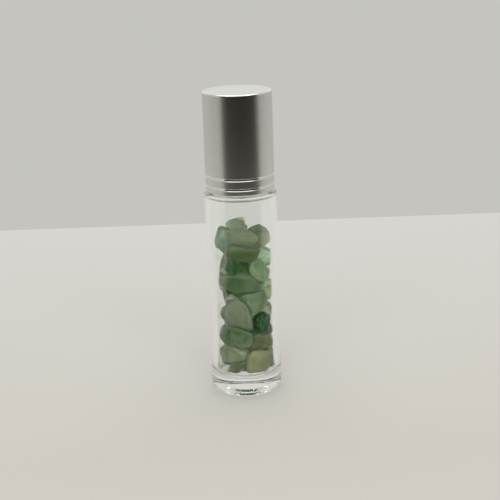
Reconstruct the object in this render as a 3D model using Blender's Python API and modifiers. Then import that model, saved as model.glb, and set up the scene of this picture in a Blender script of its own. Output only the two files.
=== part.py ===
"""Rollerball bottle of clear glass, filled with tumbled green stone chips.

The bottle stands on its base with its axis along +Z.  A plastic housing is
pressed into the neck and holds a steel ball, and a plastic liner inside a thin
aluminium shell makes the screw cap.  The chips lie loose in the bore.
Lengths are in metres, with the origin at the centre of the base.
"""

import math
import random

import bmesh
import bpy
import numpy as np
from mathutils import Euler
from mathutils import Vector

# Fineness of the turned pieces and of the chips
SEGMENTS = 40
BALL_RINGS = 16
CHIP_POINTS = 56
GRID_STEPS = 160
SEARCH_STEPS = 60
CORNER_LEANS = (0, 30, 60, 90)

# How far a chip sways round the bore, tips and spins to settle, in degrees
SETTLE_SWAYS = (-12, -6, 0, 6, 12)
SETTLE_TIPS = (-10, 0, 10)
SETTLE_SPINS = (-16, 0, 16)

# Running gaps
FIT_GAP = 0.0003
BALL_GAP = 0.00025
THREAD_GAP = 0.00025
WELD_DISTANCE = 0.000001
CUT_OVERRUN = 0.0005

# Steel ball, and how far its centre stands above the housing's flange
BALL_RADIUS = 0.0045
BALL_RISE = 0.0009

# Plastic housing that holds the ball
SNAP_RISE = 0.0019
CUP_WALL = 0.0009
SOCKET_SKIN = 0.0003
FLANGE_THICKNESS = 0.0010
FLANGE_INSET = 0.0001
PLUG_TAIL = 0.00135
PLUG_WALL = 0.0009
PLUG_LEAD = 0.0008
RIB_COUNT = 3
RIB_PROUD = 0.00025
RIB_WIDTH = 0.0007
RIB_PITCH = 0.0017
FEED_RADIUS = 0.0021
SEAT_THICKNESS = 0.0009
GROOVE_COUNT = 4
GROOVE_WIDTH = 0.0007
GROOVE_REACH = 0.0035

# Glass neck
NECK_WALL = 0.0015
NECK_HEIGHT = 0.0115
NECK_ROOT_ROUND = 0.0003
LIP_ROUND = 0.0005
BEAD_RISE = 0.0018
BEAD_WIDTH = 0.0014
BEAD_PROUD = 0.0005
THREAD_HEIGHT = 0.0006

# Plastic liner of the cap
LINER_WALL = 0.0008
LINER_INSET = 0.0005
CEILING_GAP = 0.0008
CEILING_THICKNESS = 0.0011
SEAL_THICKNESS = 0.0006
HEAD_HEIGHT = 0.00695
HEAD_WALL = 0.0008
HEAD_RIB = 0.0008

# Aluminium shell of the cap, with its two bright-cut rings
CAP_STANDOFF = 0.0006
SHELL_WALL = 0.00045
SHELL_EDGE = 0.00045
HEM_ROUND = 0.0002
RING_WIDTH = 0.0008
RING_DEPTH = 0.00016
LOWER_RING_RISE = 0.0016
RING_SPACING = 0.0027

# Glass body, from the base up to the root of the neck
BODY_STEP = 0.0005
BODY_WALL = 0.0019
SHOULDER_HEIGHT = 0.0582
SHOULDER_ROUND = 0.0009
THROAT_DROP = 0.0020
HEEL_ROUND = 0.0022
BASE_THICKNESS = 0.0048
FLOOR_ROUND = 0.0018
FLOOR_BOWL = 0.018
STANDING_WIDTH = 0.0011
PUNT_DEPTH = 0.0012
PUNT_SHARES = (0.75, 0.4)

# Stone chips: the sides of a middling one as it is dropped, as shares of the side
# of a cube that holds one chip's part of the bore, how much smaller they are cut for
# another try when the heap stands too high, and how far a settled chip may fill out
# into the room round it, as shares of its width, thickness and length
CHIP_LENGTH_SHARE = 1.2338
CHIP_WIDTH_SHARE = 1.0439
CHIP_THICKNESS_SHARE = 0.5062
NEXT_CUT_SHARE = 0.97
CHIP_FLATS = 9
FULL_SIZE_SHARES = (1.20, 1.90, 1.15)
FLAT_DEPTH_SHARES = (0.52, 0.90)
FILL_ROOM = 0.0040

# One row a chip, from the bottom of the heap to its top, chosen by hand: the
# angle round the bore from the front, its share of the way out to the wall, its
# length, width and thickness as shares of a middling chip's, how it leans, turns
# from facing the wall and rolls, in degrees, and the stone's tint.
CHIP_SHARES = (
    (150, 0.90, 0.85, 0.95, 1.00, 12, 0, 80, "mid"),
    (-138, 0.90, 0.85, 0.85, 0.90, 8, 0, 60, "dark"),
    (36, 1.00, 0.95, 0.98, 0.95, 6, 0, 10, "olive"),
    (-12, 0.95, 0.90, 0.44, 0.80, 8, 0, 44, "olive"),
    (95, 0.95, 0.80, 0.80, 0.90, 8, 0, 30, "mid"),
    (170, 0.10, 0.85, 0.85, 1.00, 30, 20, 10, "dark"),
    (-22, 0.98, 0.95, 0.86, 0.95, 8, 0, 70, "pale"),
    (42, 1.00, 0.95, 1.12, 1.00, 5, 0, -18, "olive"),
    (185, 0.95, 0.90, 0.95, 0.95, 12, 0, 20, "mid"),
    (-118, 0.75, 0.85, 0.90, 0.90, 15, 0, 10, "pale"),
    (-24, 1.00, 1.00, 1.02, 0.95, 6, 0, 66, "mid"),
    (85, 1.00, 0.80, 0.80, 0.80, 6, 0, 8, "pale"),
    (150, 0.90, 0.90, 0.95, 0.95, 14, 0, 70, "dark"),
    (5, 0.45, 1.25, 1.45, 1.05, 5, 0, 28, "dark"),
    (62, 1.00, 0.85, 0.60, 0.90, 4, 15, 6, "dark"),
    (-150, 0.90, 0.90, 0.95, 0.95, 14, 0, 40, "olive"),
    (-30, 1.00, 1.12, 1.02, 0.90, 5, 0, 6, "pale"),
    (36, 1.00, 1.00, 0.98, 0.95, 6, 0, 12, "pale"),
    (85, 1.00, 0.70, 0.70, 0.75, 6, 0, 5, "mid"),
    (170, 0.85, 0.95, 1.00, 0.95, 15, 0, 75, "mid"),
    (-95, 0.65, 0.85, 0.85, 0.90, 15, 0, 20, "mid"),
    (64, 1.00, 0.72, 0.70, 0.85, 8, 0, 12, "pale"),
    (0, 0.90, 0.88, 1.42, 0.95, 4, 0, 8, "mid"),
    (150, 0.80, 0.90, 0.95, 0.95, 14, 0, 30, "dark"),
    (-92, 0.60, 0.95, 0.80, 0.90, 8, 0, 10, "pale"),
    (195, 0.70, 0.90, 0.95, 0.95, 14, 0, 60, "mid"),
    (32, 0.98, 0.75, 0.88, 0.90, 6, 0, 28, "pale"),
    (130, 0.90, 0.90, 0.95, 0.95, 10, 0, 40, "mid"),
    (0, 0.25, 1.30, 1.20, 0.95, -4, 0, 12, "mid"),
    (-150, 0.85, 0.95, 0.95, 0.95, 12, 0, 30, "dark"),
    (-76, 0.78, 1.66, 0.55, 0.70, 3, 0, 3, "pale"),
    (70, 1.00, 0.62, 0.66, 0.90, 8, 0, 40, "mint"),
    (-16, 0.95, 0.52, 0.56, 0.70, 0, 0, 20, "dark"),
    (160, 0.70, 1.00, 0.95, 1.00, 10, 0, 20, "mid"),
    (-120, 0.75, 0.85, 0.80, 0.90, 12, 0, 20, "mid"),
    (-14, 0.80, 1.02, 0.70, 0.90, 6, 0, 88, "olive"),
    (46, 0.90, 1.15, 1.22, 0.90, 10, -20, 70, "olive"),
    (-165, 0.60, 0.85, 0.85, 0.95, 12, 0, 70, "mid"),
    (-88, 0.84, 0.80, 0.72, 0.80, 2, 0, 4, "dark"),
    (-115, 0.30, 0.92, 0.66, 0.75, 30, 0, 84, "pale"),
    (-14, 0.95, 1.00, 0.80, 0.70, 10, 0, 82, "pale"),
)

# Radii, each fitted round the piece inside it, from the ball out to the body
SOCKET_RADIUS = BALL_RADIUS + BALL_GAP
CUP_RADIUS = SOCKET_RADIUS + CUP_WALL
RIB_RADIUS = SOCKET_RADIUS + SOCKET_SKIN + RIB_PROUD
NECK_BORE_RADIUS = RIB_RADIUS + FIT_GAP
NECK_RADIUS = NECK_BORE_RADIUS + NECK_WALL
FLANGE_RADIUS = NECK_RADIUS - FLANGE_INSET
LINER_BORE_RADIUS = NECK_RADIUS + THREAD_HEIGHT + THREAD_GAP
LINER_RADIUS = LINER_BORE_RADIUS + LINER_WALL
SHELL_BORE_RADIUS = LINER_RADIUS + FIT_GAP
CAP_RADIUS = SHELL_BORE_RADIUS + SHELL_WALL
BODY_RADIUS = CAP_RADIUS + BODY_STEP
BORE_RADIUS = BODY_RADIUS - BODY_WALL

# Heights above the standing surface
NECK_TOP = SHOULDER_HEIGHT + NECK_HEIGHT
FLANGE_TOP = NECK_TOP + FIT_GAP + FLANGE_THICKNESS
BALL_HEIGHT = FLANGE_TOP + BALL_RISE
SEAT_TOP = BALL_HEIGHT - math.sqrt(SOCKET_RADIUS ** 2 - FEED_RADIUS ** 2)
SEAT_LOW = SEAT_TOP - SEAT_THICKNESS
PLUG_DEPTH = RIB_COUNT * RIB_PITCH + RIB_WIDTH / 2 + PLUG_TAIL + PLUG_LEAD
CAP_BOTTOM = SHOULDER_HEIGHT + CAP_STANDOFF
CEILING_LOW = BALL_HEIGHT + BALL_RADIUS + CEILING_GAP
CEILING_HIGH = CEILING_LOW + CEILING_THICKNESS
HEAD_TOP = CEILING_HIGH + HEAD_HEIGHT
CAP_TOP = HEAD_TOP + FIT_GAP + SHELL_WALL
FILL_HEIGHT = SHOULDER_HEIGHT - THROAT_DROP - FILL_ROOM

# Centres of the arcs that make the bore's floor: a wide bowl, and its rounded corner
BOWL_HEIGHT = BASE_THICKNESS + FLOOR_BOWL
CORNER_RADIUS = BORE_RADIUS - FLOOR_ROUND
CORNER_HEIGHT = BOWL_HEIGHT - math.sqrt((FLOOR_BOWL - FLOOR_ROUND) ** 2 - CORNER_RADIUS ** 2)

# Room for the chips, and the part of the bore that each one has
CHIP_ROOM = (BORE_RADIUS - FIT_GAP) * math.cos(math.pi / SEGMENTS)
FILL_VOLUME = math.pi * BORE_RADIUS ** 2 * (FILL_HEIGHT - BASE_THICKNESS)
CHIP_CUBE = math.cbrt(FILL_VOLUME / len(CHIP_SHARES))

# Colour, roughness, metallic and transmission of each finish
FINISHES = {
    "clear_glass": ((0.86, 0.90, 0.88), 0.03, 0.0, 0.9),
    "natural_plastic": ((0.80, 0.80, 0.78), 0.35, 0.0, 0.0),
    "polished_steel": ((0.72, 0.72, 0.71), 0.10, 1.0, 0.0),
    "white_plastic": ((0.82, 0.82, 0.81), 0.45, 0.0, 0.0),
    "satin_aluminium": ((0.62, 0.62, 0.62), 0.38, 1.0, 0.0),
    "stone_dark": ((0.030, 0.085, 0.045), 0.18, 0.0, 0.0),
    "stone_mid": ((0.085, 0.150, 0.065), 0.20, 0.0, 0.0),
    "stone_pale": ((0.190, 0.260, 0.150), 0.22, 0.0, 0.0),
    "stone_olive": ((0.120, 0.125, 0.050), 0.20, 0.0, 0.0),
    "stone_mint": ((0.170, 0.300, 0.190), 0.20, 0.0, 0.0),
}


def clear_scene():
    """Remove whatever the scene holds."""
    for thing in list(bpy.data.objects):
        bpy.data.objects.remove(thing, do_unlink=True)


def make_collection(name):
    """Add a collection to the scene."""
    group = bpy.data.collections.new(name)
    bpy.context.scene.collection.children.link(group)
    return group


def make_material(name):
    """A Principled material with one of the finishes above."""
    color, roughness, metallic, transmission = FINISHES[name]
    material = bpy.data.materials.new(name)
    material.use_nodes = True
    shader = material.node_tree.nodes["Principled BSDF"]
    shader.inputs["Base Color"].default_value = (*color, 1.0)
    shader.inputs["Roughness"].default_value = roughness
    shader.inputs["Metallic"].default_value = metallic
    shader.inputs["Transmission Weight"].default_value = transmission
    material.diffuse_color = (*color, 1.0)
    return material


def add_object(name, mesh, group, material):
    """Wrap a mesh in a named object."""
    thing = bpy.data.objects.new(name, mesh)
    group.objects.link(thing)
    if material is not None:
        mesh.materials.append(material)
    return thing


def add_empty(name, height, group):
    """An empty on the bottle's axis, which carries a moving group."""
    empty = bpy.data.objects.new(name, None)
    empty.empty_display_size = BODY_RADIUS
    empty.location = (0.0, 0.0, height)
    group.objects.link(empty)
    return empty


def arc(centre_r, centre_z, radius, start, end, steps):
    """Points of an arc in the profile plane, with angles in degrees from +X."""
    points = []
    for step in range(steps + 1):
        angle = math.radians(start + (end - start) * step / steps)
        points.append((centre_r + radius * math.cos(angle), centre_z + radius * math.sin(angle)))
    return points


def turned(name, profile, closed, group, material):
    """Turn a profile of (radius, height) points about the Z axis.

    The profile runs down the outer side.  A closed one is a ring with a hole
    through it, and an open one starts and ends on the axis.
    """
    mesh = bpy.data.meshes.new(name)
    points = [(radius, 0.0, height) for radius, height in profile]
    edges = [(index, index + 1) for index in range(len(points) - 1)]
    if closed:
        edges.append((len(points) - 1, 0))
    mesh.from_pydata(points, edges, [])
    thing = add_object(name, mesh, group, material)
    screw = thing.modifiers.new("turn", "SCREW")
    screw.axis = "Z"
    screw.angle = math.tau
    screw.steps = SEGMENTS
    screw.render_steps = SEGMENTS
    screw.use_merge_vertices = True
    screw.merge_threshold = WELD_DISTANCE
    screw.use_smooth_shade = True
    return thing


def cut_with(target, cutter, operation):
    """Join or subtract a cutter from a target with an exact Boolean."""
    boolean = target.modifiers.new(cutter.name, "BOOLEAN")
    boolean.object = cutter
    boolean.operation = operation
    boolean.solver = "EXACT"


def hide_cutter(cutter):
    """Show a cutter as wire and keep it out of renders."""
    cutter.display_type = "WIRE"
    cutter.hide_render = True


def box_mesh(name, length, width, height):
    """A box mesh centred on its own origin."""
    shape = bmesh.new()
    bmesh.ops.create_cube(shape, size=1.0)
    bmesh.ops.scale(shape, vec=(length, width, height), verts=shape.verts)
    mesh = bpy.data.meshes.new(name)
    shape.to_mesh(mesh)
    shape.free()
    return mesh


def bottle_outside():
    """Outer profile of the glass, from the lip of the neck to the base's centre."""
    bead_half = BEAD_WIDTH / 2
    bead_height = SHOULDER_HEIGHT + BEAD_RISE
    root_r = NECK_RADIUS + NECK_ROOT_ROUND
    shoulder_round = min(SHOULDER_ROUND, BODY_RADIUS - root_r)
    shoulder_r = BODY_RADIUS - shoulder_round
    stand_r = BODY_RADIUS - HEEL_ROUND
    profile = arc(NECK_RADIUS - LIP_ROUND, NECK_TOP - LIP_ROUND, LIP_ROUND, 90, 0, 3)
    profile.append((NECK_RADIUS, bead_height + bead_half))
    profile.append((NECK_RADIUS + BEAD_PROUD, bead_height + bead_half / 2))
    profile.append((NECK_RADIUS + BEAD_PROUD, bead_height - bead_half / 2))
    profile.append((NECK_RADIUS, bead_height - bead_half))
    profile += arc(root_r, SHOULDER_HEIGHT + NECK_ROOT_ROUND, NECK_ROOT_ROUND, 180, 270, 2)
    profile += arc(shoulder_r, SHOULDER_HEIGHT - shoulder_round, shoulder_round, 90, 0, 7)
    profile += arc(stand_r, HEEL_ROUND, HEEL_ROUND, 0, -90, 5)
    punt_r = stand_r - STANDING_WIDTH
    profile.append((punt_r, 0.0))
    for share in PUNT_SHARES:
        profile.append((punt_r * share, PUNT_DEPTH * (1 - share * share)))
    profile.append((0.0, PUNT_DEPTH))
    return profile


def throat_profile():
    """Two arcs of one radius that lead smoothly from the bore in to the neck's bore."""
    step = BORE_RADIUS - NECK_BORE_RADIUS
    swing = math.degrees(2 * math.atan2(step, THROAT_DROP))
    bend = (step * step + THROAT_DROP * THROAT_DROP) / (4 * step)
    lower = arc(BORE_RADIUS - bend, SHOULDER_HEIGHT - THROAT_DROP, bend, 0, swing, 4)
    upper = arc(NECK_BORE_RADIUS + bend, SHOULDER_HEIGHT, bend, 180 + swing, 180, 4)
    return lower + upper[1:]


def bottle_inside():
    """Inner profile of the glass, from the floor's centre up to the lip."""
    lean = math.degrees(math.atan2(CORNER_RADIUS, BOWL_HEIGHT - CORNER_HEIGHT)) - 90
    profile = arc(0.0, BOWL_HEIGHT, FLOOR_BOWL, -90, lean, 4)
    profile += arc(CORNER_RADIUS, CORNER_HEIGHT, FLOOR_ROUND, lean, 0, 4)[1:]
    profile += throat_profile()
    profile += arc(NECK_BORE_RADIUS + LIP_ROUND, NECK_TOP - LIP_ROUND, LIP_ROUND, 180, 90, 3)
    return profile


def make_bottle(group, material):
    """Blown and pressed flint glass with a heavy base, open at the neck."""
    profile = bottle_inside() + bottle_outside()
    return turned("glass_bottle", profile, False, group, material)


def housing_profile():
    """Profile of the ball housing.

    It starts at the snap lip and runs down the cup, over the flange, along the
    ribbed plug, round the skirt's end, and back up through feed hole and socket.
    """
    lip_r = math.sqrt(SOCKET_RADIUS ** 2 - SNAP_RISE ** 2)
    lip_z = BALL_HEIGHT + SNAP_RISE
    flange_low = NECK_TOP + FIT_GAP
    flange_edge = FLANGE_THICKNESS / 3
    plug_r = RIB_RADIUS - RIB_PROUD
    plug_low = NECK_TOP - PLUG_DEPTH
    skirt_r = plug_r - PLUG_WALL
    profile = [(lip_r, lip_z), (lip_r + CUP_WALL / 2, lip_z)]
    profile.append((CUP_RADIUS - CUP_WALL / 4, lip_z - CUP_WALL / 2))
    profile.append((CUP_RADIUS, BALL_HEIGHT))
    profile.append((CUP_RADIUS, FLANGE_TOP))
    profile.append((FLANGE_RADIUS - flange_edge, FLANGE_TOP))
    profile.append((FLANGE_RADIUS, FLANGE_TOP - flange_edge))
    profile.append((FLANGE_RADIUS, flange_low))
    profile.append((plug_r, flange_low))
    for rib in range(RIB_COUNT):
        middle = NECK_TOP - (rib + 1) * RIB_PITCH
        profile.append((plug_r, middle + RIB_WIDTH / 2))
        profile.append((RIB_RADIUS, middle + RIB_WIDTH / 4))
        profile.append((plug_r, middle - RIB_WIDTH / 2))
    profile.append((plug_r, plug_low + PLUG_LEAD))
    profile.append((plug_r - PLUG_LEAD / 2, plug_low))
    profile.append((skirt_r, plug_low))
    profile.append((skirt_r, SEAT_LOW))
    profile.append((FEED_RADIUS, SEAT_LOW))
    start = -math.degrees(math.acos(FEED_RADIUS / SOCKET_RADIUS))
    end = math.degrees(math.asin(SNAP_RISE / SOCKET_RADIUS))
    profile += arc(0.0, BALL_HEIGHT, SOCKET_RADIUS, start, end, 10)[:-1]
    return profile


def make_housing(group, cutters, material):
    """Moulded fitment that snaps round the ball and seals in the neck."""
    housing = turned("roller_housing", housing_profile(), True, group, material)
    depth = SEAT_THICKNESS + GROOVE_REACH
    for index in range(GROOVE_COUNT // 2):
        name = "feed_groove_cutter_{}".format(index + 1)
        mesh = box_mesh(name, GROOVE_REACH * 2, GROOVE_WIDTH, depth)
        cutter = add_object(name, mesh, cutters, None)
        cutter.location.z = SEAT_LOW - CUT_OVERRUN + depth / 2
        cutter.rotation_euler.z = math.tau * index / GROOVE_COUNT
        hide_cutter(cutter)
        cut_with(housing, cutter, "DIFFERENCE")
    return housing


def make_ball(group, material):
    """Steel ball, held in its socket with a running gap."""
    shape = bmesh.new()
    bmesh.ops.create_uvsphere(shape, u_segments=SEGMENTS, v_segments=BALL_RINGS, radius=BALL_RADIUS)
    mesh = bpy.data.meshes.new("roller_ball")
    shape.to_mesh(mesh)
    shape.free()
    mesh.shade_smooth()
    ball = add_object("roller_ball", mesh, group, material)
    ball.location.z = BALL_HEIGHT
    return ball


def ring_groove(height):
    """Profile points of one bright-cut ring, a shallow vee turned into the shell."""
    half = RING_WIDTH / 2
    deep_r = CAP_RADIUS - RING_DEPTH
    return [(CAP_RADIUS, height + half), (deep_r, height), (CAP_RADIUS, height - half)]


def make_shell(group, material):
    """Drawn aluminium cup with a cut edge and two bright rings near its rim."""
    lower_ring = CAP_BOTTOM + LOWER_RING_RISE
    inner_top = CAP_TOP - SHELL_WALL
    profile = [(0.0, CAP_TOP), (CAP_RADIUS - SHELL_EDGE, CAP_TOP)]
    profile.append((CAP_RADIUS, CAP_TOP - SHELL_EDGE))
    profile += ring_groove(lower_ring + RING_SPACING)
    profile += ring_groove(lower_ring)
    profile.append((CAP_RADIUS, CAP_BOTTOM + HEM_ROUND))
    profile.append((CAP_RADIUS - HEM_ROUND, CAP_BOTTOM))
    profile.append((SHELL_BORE_RADIUS, CAP_BOTTOM))
    profile.append((SHELL_BORE_RADIUS, inner_top - SHELL_EDGE))
    profile.append((SHELL_BORE_RADIUS - SHELL_EDGE, inner_top))
    profile.append((0.0, inner_top))
    return turned("cap_shell", profile, False, group, material)


def make_liner(group, cutters, material):
    """Moulded liner: a threaded skirt, a ceiling with a seal ring, and a ribbed head."""
    head_bore = LINER_RADIUS - HEAD_WALL
    liner_low = CAP_BOTTOM + LINER_INSET
    seal_r = FLANGE_RADIUS - FLANGE_THICKNESS / 3
    seal_bore = seal_r - SEAL_THICKNESS
    seal_low = FLANGE_TOP + FIT_GAP
    seal_tip = SEAL_THICKNESS / 2
    profile = [(0.0, CEILING_HIGH), (head_bore, CEILING_HIGH), (head_bore, HEAD_TOP)]
    profile.append((LINER_RADIUS - SHELL_EDGE, HEAD_TOP))
    profile.append((LINER_RADIUS, HEAD_TOP - SHELL_EDGE))
    profile.append((LINER_RADIUS, liner_low))
    profile.append((LINER_BORE_RADIUS, liner_low))
    profile.append((LINER_BORE_RADIUS, CEILING_LOW))
    profile.append((seal_r, CEILING_LOW))
    profile.append((seal_r, seal_low + seal_tip))
    profile.append((seal_r - seal_tip, seal_low))
    profile.append((seal_bore, seal_low + seal_tip))
    profile.append((seal_bore, CEILING_LOW))
    profile.append((0.0, CEILING_LOW))
    liner = turned("cap_liner", profile, False, group, material)
    rib_low = CEILING_HIGH - CEILING_THICKNESS / 2
    rib_height = HEAD_TOP - FIT_GAP - rib_low
    for index in range(2):
        name = "head_rib_{}".format(index + 1)
        mesh = box_mesh(name, head_bore * 2 + HEAD_WALL, HEAD_RIB, rib_height)
        rib = add_object(name, mesh, cutters, None)
        rib.location.z = rib_low + rib_height / 2
        rib.rotation_euler.z = math.tau * index / 4
        hide_cutter(rib)
        cut_with(liner, rib, "UNION")
    return liner


def hull_mesh(name, points):
    """The convex mesh round some points, with its faces turned outward."""
    shape = bmesh.new()
    for point in points:
        shape.verts.new(point)
    hull = bmesh.ops.convex_hull(shape, input=shape.verts)
    spare = [part for part in hull["geom_interior"] if isinstance(part, bmesh.types.BMVert)]
    bmesh.ops.delete(shape, geom=spare, context="VERTS")
    bmesh.ops.recalc_face_normals(shape, faces=shape.faces)
    mesh = bpy.data.meshes.new(name)
    shape.to_mesh(mesh)
    shape.free()
    mesh.shade_smooth()
    return mesh


def chip_mesh(seed, cube, shares):
    """A tumbled chip: a rounded lump worn flat on several seeded sides."""
    chance = random.Random(seed)
    turn = math.pi * (3 - math.sqrt(5))
    points = []
    for step in range(CHIP_POINTS):
        height = 1 - 2 * (step + 0.5) / CHIP_POINTS
        reach = math.sqrt(1 - height * height)
        points.append(Vector((reach * math.cos(turn * step), height, reach * math.sin(turn * step))))
    for flat in range(CHIP_FLATS):
        normal = Vector((chance.gauss(0, 1), chance.gauss(0, 1), chance.gauss(0, 1))).normalized()
        depth = chance.uniform(*FLAT_DEPTH_SHARES)
        for point in points:
            over = point.dot(normal) - depth
            if over > 0:
                point -= normal * over
    length_share, width_share, thickness_share = shares
    width = cube * CHIP_WIDTH_SHARE * width_share
    thickness = cube * CHIP_THICKNESS_SHARE * thickness_share
    sizes = (width, thickness, cube * CHIP_LENGTH_SHARE * length_share)
    for axis in range(3):
        low = min(point[axis] for point in points)
        high = max(point[axis] for point in points)
        for point in points:
            point[axis] = ((point[axis] - low) / (high - low) - 0.5) * sizes[axis]
    return hull_mesh("chip_{:02d}".format(seed), points)


def empty_bore(across, along):
    """Height of the bore's floor over the grid: the bowl, and outside it the corner."""
    radius = np.minimum(np.hypot(across, along), BORE_RADIUS)
    bowl_edge = CORNER_RADIUS * FLOOR_BOWL / (FLOOR_BOWL - FLOOR_ROUND)
    bowl = BOWL_HEIGHT - np.sqrt(FLOOR_BOWL ** 2 - radius ** 2)
    run = np.maximum(FLOOR_ROUND ** 2 - (radius - CORNER_RADIUS) ** 2, 0.0)
    return np.where(radius < bowl_edge, bowl, CORNER_HEIGHT - np.sqrt(run))


def surfaces(normals, distances, across, along):
    """Lower and upper surface of a convex solid over a grid, and where it has any."""
    lower = np.full(across.shape, -math.inf)
    upper = np.full(across.shape, math.inf)
    for normal, distance in zip(normals, distances):
        left = distance - normal[0] * across - normal[1] * along
        if normal[2] < 0:
            lower = np.maximum(lower, left / normal[2])
        elif normal[2] > 0:
            upper = np.minimum(upper, left / normal[2])
        else:
            upper = np.where(left < 0, -math.inf, upper)
    return lower, upper, lower <= upper


def way_to_wall(corners, direction):
    """How far a chip can move from the axis before a corner meets the wall."""
    ahead = corners[:, 0] * direction[0] + corners[:, 1] * direction[1]
    square = corners[:, 0] ** 2 + corners[:, 1] ** 2
    room = np.maximum(CHIP_ROOM ** 2 - square + ahead ** 2, 0.0)
    return max(float(np.min(np.sqrt(room) - ahead)), 0.0)


def lie_down(mesh, angles, around, out, line, pile):
    """Lower a chip into the bore at one place and turn, and say where it rests."""
    rotation = np.array(angles.to_matrix())
    corners = np.array([list(corner.co) for corner in mesh.vertices]) @ rotation.T
    direction = (math.sin(math.radians(around)), -math.cos(math.radians(around)))
    reach = out * way_to_wall(corners, direction)
    place = np.array((direction[0] * reach, direction[1] * reach, 0.0))
    normals = np.array([list(face.normal) for face in mesh.polygons]) @ rotation.T
    centres = np.array([list(face.center) for face in mesh.polygons]) @ rotation.T + place
    distances = np.sum(normals * centres, axis=1)
    low = corners.min(axis=0) + place - FIT_GAP
    high = corners.max(axis=0) + place + FIT_GAP
    rows = slice(*np.searchsorted(line, (low[0], high[0])))
    columns = slice(*np.searchsorted(line, (low[1], high[1])))
    across, along = np.meshgrid(line[rows], line[columns], indexing="ij")
    below = pile[rows, columns]
    lower, upper, held = surfaces(normals, distances + FIT_GAP, across, along)
    place[2] = np.max((below - lower)[held])
    lower, upper, held = surfaces(normals, distances, across, along)
    raised = np.where(held, np.maximum(below, upper + place[2]), below)
    return place, place[2] + corners[:, 2].max(), (rows, columns), raised


def chip_turns(row):
    """The turns that a chip tries as it settles into the heap."""
    around, lean, turn, roll = row[0], row[5], row[6], row[7]
    for sway in SETTLE_SWAYS:
        for tip in SETTLE_TIPS:
            for spin in SETTLE_SPINS:
                angles = (lean + tip, roll + spin, around + sway + turn)
                yield around + sway, Euler([math.radians(angle) for angle in angles], "YXZ")


def drop_chips(cube):
    """Drop the chips into the bore one by one, each settling as low as it can.

    Each is given as its centre, the turn of its axes and its corners.
    """
    line = np.linspace(-BORE_RADIUS, BORE_RADIUS, GRID_STEPS)
    pile = empty_bore(*np.meshgrid(line, line, indexing="ij"))
    chips = []
    heap_top = 0.0
    for number, row in enumerate(CHIP_SHARES, start=1):
        mesh = chip_mesh(number, cube, row[2:5])
        best = None
        for around, angles in chip_turns(row):
            place, top, window, raised = lie_down(mesh, angles, around, row[1], line, pile)
            if best is None or place[2] < best[0][2]:
                best = (place, top, window, raised, angles)
        place, top, window, raised, angles = best
        pile[window] = raised
        heap_top = max(heap_top, top)
        rotation = np.array(angles.to_matrix())
        corners = np.array([list(corner.co) for corner in mesh.vertices]) @ rotation.T + place
        bpy.data.meshes.remove(mesh)
        chips.append((place, rotation, corners))
    return chips, heap_top


def bore_sides():
    """The planes that bound the chips' room: the wall, the floor and the top.

    Each is an outward normal and its distance from the origin.
    """
    sides = [((0.0, 0.0, 1.0), FILL_HEIGHT)]
    for step in range(SEGMENTS):
        around = math.tau * (step + 0.5) / SEGMENTS
        for lean in CORNER_LEANS:
            out, down = math.sin(math.radians(lean)), math.cos(math.radians(lean))
            normal = (out * math.cos(around), out * math.sin(around), -down)
            reach = CORNER_RADIUS * out - CORNER_HEIGHT * down + FLOOR_ROUND
            sides.append((normal, reach - FIT_GAP))
    return sides


def plane_between(first, second):
    """The direction from one convex cloud of corners to another, and their gap along it."""
    way = second.mean(axis=0) - first.mean(axis=0)
    for step in range(SEARCH_STEPS):
        direction = way / np.linalg.norm(way)
        nearest = second[np.argmin(second @ direction)] - first[np.argmax(first @ direction)]
        side = nearest - way
        length = side @ side
        share = 0.0 if length == 0 else min(1.0, max(0.0, -(way @ side) / length))
        way = way + side * share
    direction = way / np.linalg.norm(way)
    return direction, np.max(first @ direction), np.min(second @ direction)


def room_of(chips):
    """The planes that bound each chip's room: half-way to each neighbour, and the bore's."""
    rooms = [list(bore_sides()) for chip in chips]
    for index, (centre, rotation, corners) in enumerate(chips):
        for other in range(index):
            direction, low, high = plane_between(chips[other][2], corners)
            middle = (low + high) / 2
            rooms[other].append((direction, middle - FIT_GAP / 2))
            rooms[index].append((-direction, -middle - FIT_GAP / 2))
    return rooms


def swell(centre, rotation, corners, room):
    """Let each corner of a chip out, up to the full size of the stone or its room."""
    normals = np.array([list(normal) for normal, distance in room])
    distances = np.array([distance for normal, distance in room])
    moves = (corners - centre) @ rotation * (np.array(FULL_SIZE_SHARES) - 1) @ rotation.T
    left = distances[:, None] - normals @ corners.T
    speed = normals @ moves.T
    shares = np.where(speed > 0, left / np.maximum(speed, WELD_DISTANCE), 1.0)
    return corners + moves * np.clip(shares.min(axis=0), 0.0, 1.0)[:, None]


def make_chips(group, heap, materials):
    """Fill the bore with a heap of chips whose top stays below the throat."""
    cube = CHIP_CUBE
    chips, heap_top = drop_chips(cube)
    while heap_top > FILL_HEIGHT:
        cube *= NEXT_CUT_SHARE
        chips, heap_top = drop_chips(cube)
    numbered = enumerate(zip(chips, room_of(chips), CHIP_SHARES), start=1)
    for number, ((centre, rotation, corners), room, row) in numbered:
        mesh = hull_mesh("chip_{:02d}".format(number), swell(centre, rotation, corners, room) - centre)
        chip = add_object(mesh.name, mesh, group, materials["stone_" + row[8]])
        chip.parent = heap
        chip.location = (centre[0], centre[1], centre[2] - heap.location.z)


def build():
    """Make the whole bottle."""
    clear_scene()
    group = make_collection("rollerball_bottle")
    cutters = make_collection("cutters")
    materials = {name: make_material(name) for name in FINISHES}
    make_bottle(group, materials["clear_glass"])
    make_housing(group, cutters, materials["natural_plastic"])
    make_ball(group, materials["polished_steel"])
    cap = add_empty("cap_axis", CAP_BOTTOM, group)
    for piece in (
        make_shell(group, materials["satin_aluminium"]),
        make_liner(group, cutters, materials["white_plastic"]),
    ):
        piece.parent = cap
        piece.location.z = -CAP_BOTTOM
    heap = add_empty("heap_axis", BASE_THICKNESS, group)
    make_chips(group, heap, materials)


build()
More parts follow.
